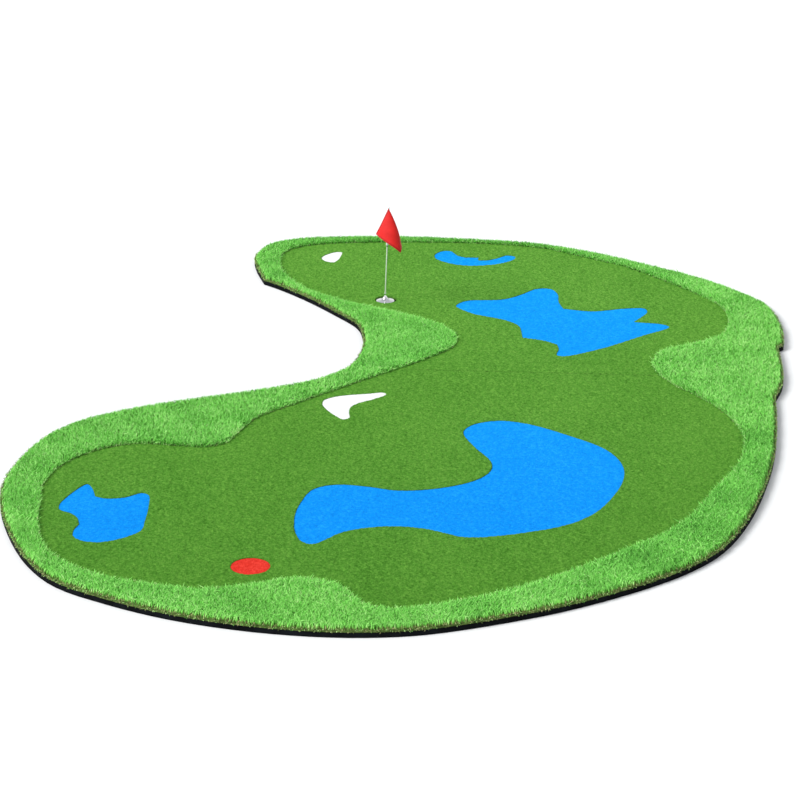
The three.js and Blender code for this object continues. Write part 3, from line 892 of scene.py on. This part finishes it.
# %% Turned materials
def plain_finish(name, colour, roughness, metallic=0.0, specular=0.5, wear=0.06, grain=(90, 90, 90)):
    """A hard finish: one colour with a slight cloud of handling marks in its tone and in its gloss. `grain`
    is the scale of the marks along X, Y and Z, in marks per metre."""
    material, tree = new_material(name)
    place = add_node(tree, "ShaderNodeTexCoord").outputs["Object"]
    marks = add_node(tree, "ShaderNodeMapping", {"Vector": place, "Scale": grain}).outputs[0]
    cloud = noise(tree, marks, 1.0, 4.0)
    base = np.array(linear(colour)[:3])
    dark, light = ((*np.minimum(base * (1 + way * wear), 1).tolist(), 1.0) for way in (-1, 1))
    span = {"Value": cloud, "To Min": roughness * 0.8, "To Max": roughness * 1.25}
    finish_material(
        tree,
        {
            "Base Color": colour_blend(tree, cloud, dark, light),
            "Roughness": add_node(tree, "ShaderNodeMapRange", span).outputs[0],
            "Metallic": metallic,
            "Specular IOR Level": specular,
        },
    )
    return material


# Polished aluminium, spun in rings, mirrors the hall softly, and moulded rubber is dull black. Sand-cast
# iron is dark and rough. Pultruded fibreglass is off-white, with faint marks along the rod. Nickel plate is
# a warm grey mirror, and moulded polypropylene is white with a soft gloss.
spun_aluminium = plain_finish(
    "polished spun aluminium", "#f1f2f4", 0.17, metallic=1.0, wear=0.04, grain=(60, 60, 600)
)
moulded_rubber = plain_finish("black moulded rubber", "#151515", 0.85, specular=0.2)
cast_iron = plain_finish("sand-cast iron", "#4b4b4d", 0.65, metallic=1.0, wear=0.2, grain=(300, 300, 300))
fibreglass = plain_finish("white pultruded fibreglass", "#cfdac8", 0.4, grain=(500, 500, 8))
nickel = plain_finish("nickel-plated steel", "#a9a8a2", 0.3, metallic=1.0)
polypropylene = plain_finish("white moulded polypropylene", "#eceeee", 0.45)

# %% Foot, stick and tube
round_pieces = (
    ("flag_foot_shell", "foot_shell_spun", 0.8 * MM, spun_aluminium, "flag_foot", "foot_shell"),
    ("flag_foot_pad", "foot_pad_moulded", 0.6 * MM, moulded_rubber, "flag_foot", "foot_pad"),
    ("flag_foot_weight", "foot_weight_cast", 1.0 * MM, cast_iron, "flag_foot", "foot_weight"),
    ("flagstick", "stick_rod", 0.4 * MM, fibreglass, "stick", "stick"),
    ("stick_collar", "collar_turned", 0.3 * MM, nickel, "stick", "collar"),
    ("flag_tube", "tube_moulded", 0.3 * MM, polypropylene, "flag_swivel", "tube"),
    ("tube_cap", "cap_moulded", 0.6 * MM, polypropylene, "flag_swivel", "tube"),
)
sections = {}
for node, name, ease, material, body, slot in round_pieces:
    centre, axis = (foot_centre, upright) if body == "flag_foot" else (stick_foot, stick_axis)
    sections[node] = turned_piece(node, name, centre, axis, ease, material, body, slot)

# %% [markdown]
# ## Flag
#
# The flag is thin woven nylon, hemmed on three sides, with its fourth side sewn round the tube. In still air
# it hangs from its top corner. A sheet that bends but doesn't stretch, held at one point, takes the shape of
# a cone whose tip is that point: every straight line on the cloth from the corner stays straight. So its
# shape is a curve of directions: down the tube, out to the lower free corner, and back across the front to
# the upper free corner. That curve must be exactly a quarter turn long, as the cloth's corner is, and the
# slack behind the fold takes up what is left over.

# %% Directions of the cloth
HOIST = 165 * MM
FLY = 150 * MM
CLOTH_DROP = 1 * MM
SLEEVE_START = 14 * MM  # below the cloth's top corner, so the tube's white end shows
SLEEVE_GAP = 0.3 * MM
SLEEVE_WALL = 0.8 * MM
CLOTH_TUCK = 0.3 * MM

along_diagonal = np.array([0.332, -0.4, -0.854])
along_top_edge = np.array([-0.395, -0.064, -0.917])
slack_way = np.array([0.5, 0.87, 0])
belly_way = np.array([0.95, -0.3, 0.1])
fold_angle = math.atan2(FLY, HOIST)
FRONT_BOW = 0.14
FOLD_ROUNDING = math.radians(18)


def unit(vectors):
    return vectors / np.linalg.norm(vectors, axis=-1, keepdims=True)


def bowed(start, end, bow, side, count=200):
    """Directions from start to end along a great circle, pushed aside by up to `bow` half-way."""
    angle = math.acos(start @ end)
    share = np.linspace(0, 1, count)[:, None]
    arc = (np.sin((1 - share) * angle) * start + np.sin(share * angle) * end) / math.sin(angle)
    return unit(arc + np.sin(np.pi * share) * bow * side)


def turned_so_far(directions):
    """The angle that a curve of directions has turned through, at each of its points."""
    return np.concatenate([[0], np.cumsum(np.linalg.norm(np.diff(directions, axis=0), axis=1))])


def softened(directions, window):
    """Each direction as the mean of those within `window` radians, which rounds the fold. Near the ends the
    window shrinks, so the ends stay."""
    angle = turned_so_far(directions)
    steps = np.diff(angle)[:, None] * (directions[1:] + directions[:-1]) / 2
    sums = np.vstack([np.zeros(3), np.cumsum(steps, axis=0)])
    reach = np.clip(np.minimum(angle, angle[-1] - angle), 1e-4, window)
    high, low = (
        np.stack([np.interp(angle + way * reach, angle, column) for column in sums.T], 1) for way in (1, -1)
    )
    mean = unit(high - low)
    mean[0], mean[-1] = directions[0], directions[-1]
    return mean


def cloth_curve(slack):
    """The cloth's directions, with this much slack behind the fold and a slight bow in front of it."""
    down, diagonal, top = np.array([0, 0, -1.0]), unit(along_diagonal), unit(along_top_edge)
    behind = bowed(down, diagonal, slack, slack_way)
    before = bowed(diagonal, top, FRONT_BOW, unit(np.cross(top, diagonal)))
    return softened(np.vstack([behind, before[1:]]), FOLD_ROUNDING)


least, most = 0.0, 1.5
for _ in range(40):
    slack = (least + most) / 2
    if turned_so_far(cloth_curve(slack))[-1] < math.pi / 2:
        least = slack
    else:
        most = slack
cloth_directions = cloth_curve(slack)
print("the cloth's slack is", round(slack, 3), "and its turn", round(turned_so_far(cloth_directions)[-1], 4))

# %% Cloth surface
HEM = 7 * MM
CLOTH = 0.5 * MM
CURL_RADIUS = 170 * MM
BELLY_DEPTH = 13 * MM
BELLY_ANGLE = 0.3  # radians to each side of the fold
TIP_CUT = 0.012  # the cloth starts this share of the way out, so its rays don't meet in one point
WAVE = 1.2 * MM


def cloth_surface():
    """The cloth on a grid of angle round the top corner by share of the way to the free edge. Gives its
    middle surface, its place on the flat cloth and its distance to the nearest free edge."""
    angle = np.concatenate([
        np.linspace(0, fold_angle, 60, endpoint=False),
        np.linspace(fold_angle, math.pi / 2, 70),
    ])
    reach = np.where(angle <= fold_angle, HOIST / np.cos(angle), FLY / np.maximum(np.sin(angle), 0.1))
    share = np.linspace(TIP_CUT, 1, 48)
    turned = turned_so_far(cloth_directions)
    ray = unit(np.stack([np.interp(angle, turned, column) for column in cloth_directions.T], 1))
    distance = share[None, :] * reach[:, None]
    place = ray[:, None, :] * distance[..., None]

    # The fold isn't quite straight: it bellies out half-way down. The top corner's free end curls back, by
    # half the square of the length past the middle, divided by the curl's radius.
    belly = np.exp(-(((angle - fold_angle) / BELLY_ANGLE) ** 2))[:, None] * np.sin(np.pi * share)
    place += (belly * BELLY_DEPTH)[..., None] * belly_way
    past = np.maximum(distance - FLY / 2, 0)
    turned_share = ((angle - fold_angle) / (math.pi / 2 - fold_angle)).clip(0, 1)[:, None] ** 2
    curl = turned_share * past**2 / (2 * CURL_RADIUS)
    place += curl[..., None] * np.array([0.1, 1.0, 0.0])
    place -= (curl * past / (3 * CURL_RADIUS))[..., None] * ray[:, None, :]
    flat = np.stack([np.sin(angle)[:, None] * distance, np.cos(angle)[:, None] * distance], -1)
    away = (angle / fold_angle).clip(0, 1)[:, None] * share**2
    wave = np.sin(flat[..., 0] / (17 * MM) + flat[..., 1] / (29 * MM)) * away * WAVE
    normal = unit(np.cross(np.gradient(place, axis=0), np.gradient(place, axis=1)))
    place += wave[..., None] * normal
    edge = np.minimum(np.minimum(FLY - flat[..., 0], HOIST - flat[..., 1]), flat[..., 1])
    return place, flat, edge


def closed_sheet(middle, thickness):
    """Both faces of a sheet, half its thickness to each side of its middle surface, joined all round."""
    normal = unit(np.cross(np.gradient(middle, axis=0), np.gradient(middle, axis=1)))
    half_thick = thickness[..., None] / 2 * normal
    rows, columns = middle.shape[:2]
    number = np.arange(rows * columns).reshape(rows, columns)
    a, b, c, d = number[:-1, :-1], number[1:, :-1], number[1:, 1:], number[:-1, 1:]
    face = np.concatenate([np.stack([a, b, c], -1).reshape(-1, 3), np.stack([a, c, d], -1).reshape(-1, 3)])
    ring = np.concatenate([number[0, :-1], number[:-1, -1], number[-1, :0:-1], number[:0:-1, 0]])
    after = np.roll(ring, -1)
    other = rows * columns
    border = np.concatenate([
        np.stack([ring, after, after + other], -1),
        np.stack([ring, after + other, ring + other], -1),
    ])
    points = np.concatenate([(middle + half_thick).reshape(-1, 3), (middle - half_thick).reshape(-1, 3)])
    triangles = np.concatenate([face[:, ::-1], face + other, border])
    return points, triangles


middle, flat, edge = cloth_surface()
thickness = CLOTH + 0.5 * MM * (edge < HEM)
points, triangles = closed_sheet(middle, thickness)
tube_radius, tube_top = sections["flag_tube"].max(0)
hang = np.array([0, -(tube_radius + SLEEVE_GAP + SLEEVE_WALL + CLOTH_TUCK), tube_top - CLOTH_DROP])
first, second = frame_round(stick_axis)
axes = np.stack([first, second, stick_axis])
points = stick_foot + (points + hang) @ axes


# %% Cloth material
RIB_SCALE = 1 / (20 * 3 * MM)  # a wave texture has a crest every 2 pi / (20 scale), which is 19 mm here


def nylon():
    """Plain-woven nylon: bright dyed red with a soft sheen. Its threads are 0.4 mm apart, too fine to show,
    so only soft ribs along both of them are drawn. The hem is two layers, so it looks deeper, with a line of
    stitches."""
    material, tree = new_material("red plain-woven nylon")
    where = add_node(tree, "ShaderNodeAttribute", attribute_name="flat").outputs["Vector"]
    ribs = {"Vector": where, "Scale": RIB_SCALE}
    weft, warp = (
        add_node(tree, "ShaderNodeTexWave", ribs, bands_direction=way).outputs["Fac"] for way in ("X", "Y")
    )
    weave = add_node(tree, "ShaderNodeMath", {0: weft, 1: warp}, operation="MULTIPLY").outputs[0]
    dye = ramp(tree, noise(tree, where, 25.0, 3.0), (0.3, "#ca1411"), (0.7, "#d81b18"))
    doubled, stitched = "#dcdcdc", "#8c8c8c"
    hem = ramp(
        tree,
        stored(tree, "margin"),
        (0.0, doubled),
        (0.34, doubled),
        (0.37, stitched),
        (0.41, stitched),
        (0.45, "#ffffff"),
    )
    finish_material(
        tree,
        {
            "Base Color": colour_blend(tree, 1.0, dye, hem, "MULTIPLY"),
            "Roughness": 0.6,
            "Specular IOR Level": 0.27,
            "Sheen Weight": 0.05,
            "Sheen Roughness": 0.4,
            "Normal": bump(tree, weave, 0.3 * MM, 0.4),
        },
    )
    return material


red_nylon = nylon()

# %% Flag pieces
def laid_flat(piece, places):
    """Stores each point's place on the flat cloth, which the weave follows."""
    data = piece.data.attributes.new("flat", "FLOAT_VECTOR", "POINT").data
    data.foreach_set("vector", places.astype(np.float32).ravel())


margin = np.tile((edge / (2.5 * HEM)).clip(0, 1).ravel(), 2)
triangles = facing_out(points, triangles)
cloth = new_piece("flag_cloth_sheet", points, triangles, red_nylon, {"margin": margin}, smooth=True)
laid_flat(cloth, np.column_stack([np.tile(flat.reshape(-1, 2), (2, 1)), np.zeros(len(points))]))
cloth.data.set_sharp_from_angle(angle=math.radians(60))
stands_for(cloth, "flag", "flag_swivel", "flag_cloth")

PUCKER = 0.12 * MM
sleeve_inner = tube_radius + SLEEVE_GAP
sleeve_outer = sleeve_inner + SLEEVE_WALL
sleeve_top, sleeve_bottom = hang[2] - SLEEVE_START, hang[2] - HOIST
levels = np.linspace(sleeve_bottom, sleeve_top, 60)
pucker = PUCKER * np.sin(levels / (1.4 * MM))
outer_side = np.column_stack([sleeve_outer + pucker, levels])
inner_side = np.array([[sleeve_inner, sleeve_top], [sleeve_inner, sleeve_bottom]])
sleeve_points, sleeve_triangles = spun(np.vstack([outer_side, inner_side]), True, stick_foot, stick_axis, 48)
count = len(sleeve_points)
plain = {"margin": np.ones(count)}
sleeve = new_piece("flag_sleeve", sleeve_points, sleeve_triangles, red_nylon, plain, smooth=True)
laid_flat(sleeve, np.column_stack([np.zeros(count), sleeve_points[:, 2], np.zeros(count)]))
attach(sleeve, "flag_swivel")
print("flag of", len(triangles), "triangles, and sleeve of", len(sleeve_triangles))
